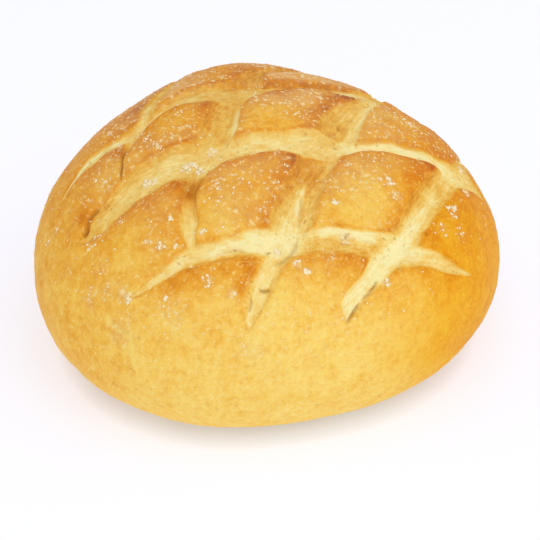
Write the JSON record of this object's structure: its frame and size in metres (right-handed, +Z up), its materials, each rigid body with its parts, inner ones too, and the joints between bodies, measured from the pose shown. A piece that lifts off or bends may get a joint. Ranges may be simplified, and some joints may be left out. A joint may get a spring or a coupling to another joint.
{
  "type": "boule",
  "caption": "Round domed hearth loaf with a crossed pattern of opened cuts in its golden floured crust and a flat foot that it stands on.",
  "frame": {"origin": "middle of the loaf's box, at the height of the flat foot that it stands on", "axes": "+Z up through the crown, +X to the right and -Y towards the viewer in the reference view"},
  "size_m": [0.1902, 0.1784, 0.1068],
  "materials": {
    "baked_crust": "baked wheat crust, matt with a faint sheen, pale crumb in the opened cuts and white flour specks"
  },
  "bodies": {
    "root": {"boule": "baked_crust"}
  },
  "joints": []
}
